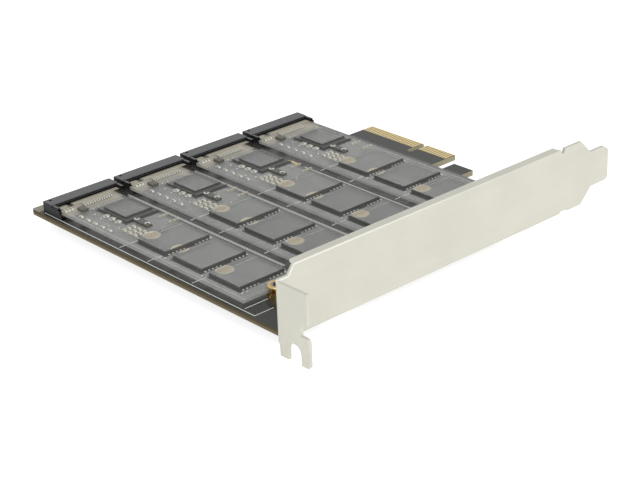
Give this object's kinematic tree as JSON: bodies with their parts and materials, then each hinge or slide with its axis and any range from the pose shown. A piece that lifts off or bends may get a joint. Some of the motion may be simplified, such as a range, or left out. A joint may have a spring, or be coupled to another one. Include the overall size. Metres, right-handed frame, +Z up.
{
  "type": "raid controller card",
  "caption": "Full-height expansion card with a slot bracket, a board-edge connector and long plug-in memory modules laid side by side on its component face.",
  "frame": {"origin": "corner of the slot bracket: on the plane of its outer face, on the plane of the screw tab's outer surface and on the plane of the body's lower edge", "axes": "+X from the bracket's outer face into the card, +Y along the bracket towards the screw tab (the edge connector is towards -Y), +Z up from the component side of the board"},
  "size_m": [0.1137, 0.12, 0.0216],
  "materials": {
    "bracket_steel": "pale nickel plate, satin",
    "screw_steel": "satin plated",
    "board_laminate": "glossy near-black lacquer over tracks",
    "gilt": "gold plated",
    "pale_print": "printed ink",
    "turned_brass": "turned",
    "plated_pad": "plated",
    "tinned_contact": "tinned",
    "socket_moulding": "moulded",
    "module_laminate": "see-through lacquered laminate",
    "module_package": "see-through moulding",
    "chip_ceramic": "fired",
    "module_solder": "solder",
    "package_moulding": "moulded",
    "can_steel": "drawn can",
    "coil_ferrite": "moulded ferrite"
  },
  "bodies": {
    "root": {"board_print": "pale_print", "bracket": "bracket_steel", "bracket_screws": "screw_steel", "clock_crystal": "can_steel", "drive_controller": "package_moulding", "edge_contacts_lower": "gilt", "edge_contacts_upper": "gilt", "ground_strip": "gilt", "holding_pads": "plated_pad", "holding_screws": "turned_brass", "line_capacitors": "chip_ceramic", "main_board": "board_laminate", "module_board_1": "module_laminate", "module_board_2": "module_laminate", "module_board_3": "module_laminate", "module_board_4": "module_laminate", "module_capacitors_1": "chip_ceramic", "module_capacitors_2": "chip_ceramic", "module_capacitors_3": "chip_ceramic", "module_capacitors_4": "chip_ceramic", "module_contacts_1": "gilt", "module_contacts_2": "gilt", "module_contacts_3": "gilt", "module_contacts_4": "gilt", "module_controller_1": "module_package", "module_controller_2": "module_package", "module_controller_3": "module_package", "module_controller_4": "module_package", "module_flash_1": "module_package", "module_flash_2": "module_package", "module_flash_3": "module_package", "module_flash_4": "module_package", "module_small_chips_1": "module_package", "module_small_chips_2": "module_package", "module_small_chips_3": "module_package", "module_small_chips_4": "module_package", "module_terminals_1": "module_solder", "module_terminals_2": "module_solder", "module_terminals_3": "module_solder", "module_terminals_4": "module_solder", "setup_memory": "package_moulding", "socket_1": "socket_moulding", "socket_2": "socket_moulding", "socket_3": "socket_moulding", "socket_4": "socket_moulding", "socket_contacts_1": "tinned_contact", "socket_contacts_2": "tinned_contact", "socket_contacts_3": "tinned_contact", "socket_contacts_4": "tinned_contact", "standoff_1": "turned_brass", "standoff_2": "turned_brass", "standoff_3": "turned_brass", "standoff_4": "turned_brass", "supply_coils": "coil_ferrite", "supply_regulators": "package_moulding"}
  },
  "joints": []
}
